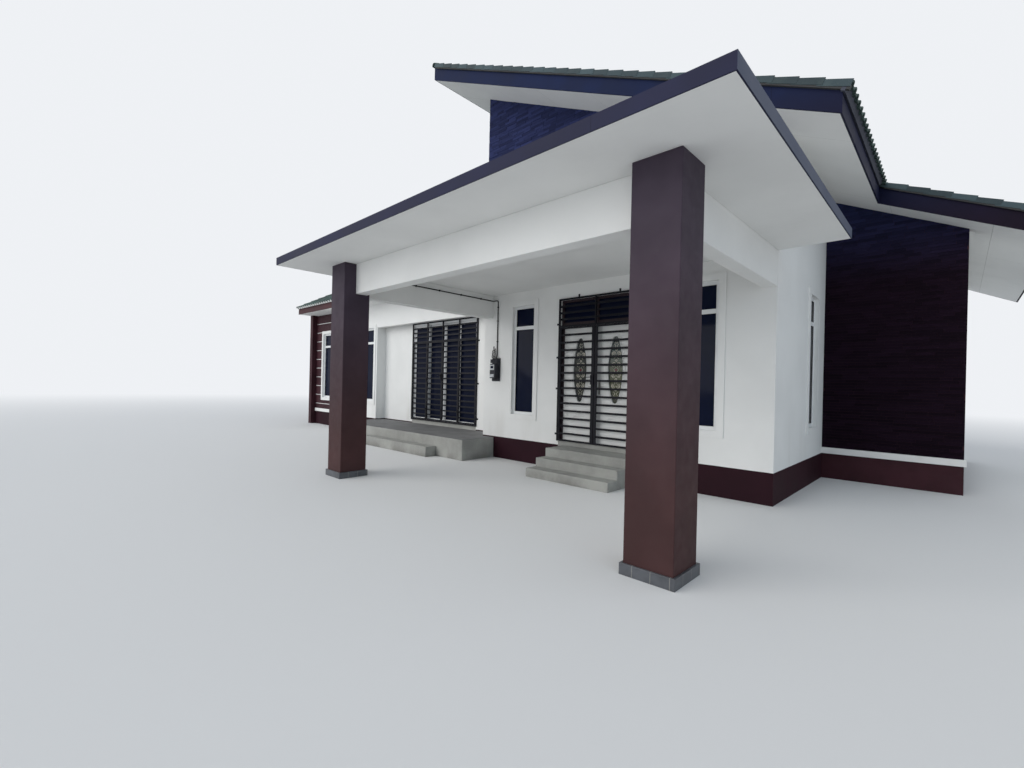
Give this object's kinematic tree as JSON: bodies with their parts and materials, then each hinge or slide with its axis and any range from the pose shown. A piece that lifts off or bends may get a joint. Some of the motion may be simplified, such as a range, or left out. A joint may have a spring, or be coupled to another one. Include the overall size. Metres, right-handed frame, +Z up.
{
  "type": "bungalow",
  "caption": "Single-storey modern house with a flat car porch, steep single-slope roof and low tiled wing ending at a party wall.",
  "frame": {"origin": "middle of the whole outline, on the ground", "axes": "+X to the viewer's right along the front, +Y from the front into the house, +Z up"},
  "size_m": [18.29, 13.25, 8.8068],
  "materials": {
    "plaster": "matt painted cement plaster",
    "cladding": "dark red-brown masonry courses",
    "column_plaster": "matt painted plaster",
    "skirt_tile": "matt grey tile",
    "cement": "smooth cement screed",
    "edge_board": "dark painted board",
    "soffit_board": "off-white painted board",
    "roof_timber": "plain sawn timber",
    "roof_tile": "weathered double-roll tile",
    "white_metal": "white powder coat",
    "dark_glass": "dark tinted glass",
    "white_timber": "white painted timber",
    "dark_timber": "dark stained timber",
    "iron": "black painted steel",
    "meter_plastic": "grey-brown plastic"
  },
  "bodies": {
    "body": {"floor_slab": "cement", "living_wall_right": "plaster", "living_wall_left": "plaster", "living_wall_lintel": "plaster", "door_sills": "cement", "living_side_wall": "plaster", "wing_front_wall": "cladding", "wing_side_wall": "plaster", "terrace_return_wall": "plaster", "terrace_wall_left": "plaster", "terrace_wall_right": "plaster", "terrace_wall_lintel": "plaster", "bay_side_wall": "plaster", "bay_striped_wall": "cladding", "bay_white_wall": "plaster", "party_wall": "cladding", "terrace_beam": "plaster", "upper_front_wall": "cladding", "upper_side_wall": "cladding", "back_wall_high": "plaster", "back_wall_low": "plaster", "ledge_bands": "plaster", "porch_slab": "plaster", "porch_edge_board": "edge_board", "porch_beams": "plaster", "porch_columns": "column_plaster", "column_skirts": "skirt_tile", "terrace_platform": "cement", "terrace_step": "cement", "entrance_steps": "cement", "high_roof_soffit": "soffit_board", "high_roof_deck": "roof_timber", "high_roof_fascia": "edge_board", "high_roof_tiles": "roof_tile", "low_roof_soffit": "soffit_board", "low_roof_deck": "roof_timber", "low_roof_fascia": "edge_board", "low_roof_tiles": "roof_tile", "front_windows": "white_metal", "side_windows": "white_metal", "back_windows": "white_metal", "window_glass": "dark_glass", "door_frame": "dark_timber", "grille_frame": "iron", "terrace_grille": "iron", "slider_frame": "white_metal", "slider_fixed_panels": "white_metal", "meter_board": "meter_plastic"},
    "door_left": {"door_leaf_left": "white_timber", "door_lens_left": "dark_glass"},
    "door_right": {"door_leaf_right": "white_timber", "door_lens_right": "dark_glass"},
    "grille_left": {"grille_leaf_left": "iron"},
    "grille_right": {"grille_leaf_right": "iron"},
    "slider_left": {"slider_leaf_left": "white_metal"},
    "slider_right": {"slider_leaf_right": "white_metal"}
  },
  "joints": [
    {"name": "door_left_hinge", "type": "hinge", "parent": "body", "child": "door_left", "pos_m": [2.5775, -2.308, 1.9], "axis": [0, 0, 1], "range_deg": [0, 90]},
    {"name": "door_right_hinge", "type": "hinge", "parent": "body", "child": "door_right", "pos_m": [4.0825, -2.308, 1.9], "axis": [0, 0, -1], "range_deg": [0, 90]},
    {"name": "grille_left_hinge", "type": "hinge", "parent": "body", "child": "grille_left", "pos_m": [2.5325, -2.477, 1.9], "axis": [0, 0, -1], "range_deg": [0, 100]},
    {"name": "grille_right_hinge", "type": "hinge", "parent": "body", "child": "grille_right", "pos_m": [4.1275, -2.477, 1.9], "axis": [0, 0, 1], "range_deg": [0, 100]},
    {"name": "slider_left_slide", "type": "slide", "parent": "body", "child": "slider_left", "axis": [-1, 0, 0], "range_m": [0, 0.6]},
    {"name": "slider_right_slide", "type": "slide", "parent": "body", "child": "slider_right", "axis": [1, 0, 0], "range_m": [0, 0.6]}
  ]
}
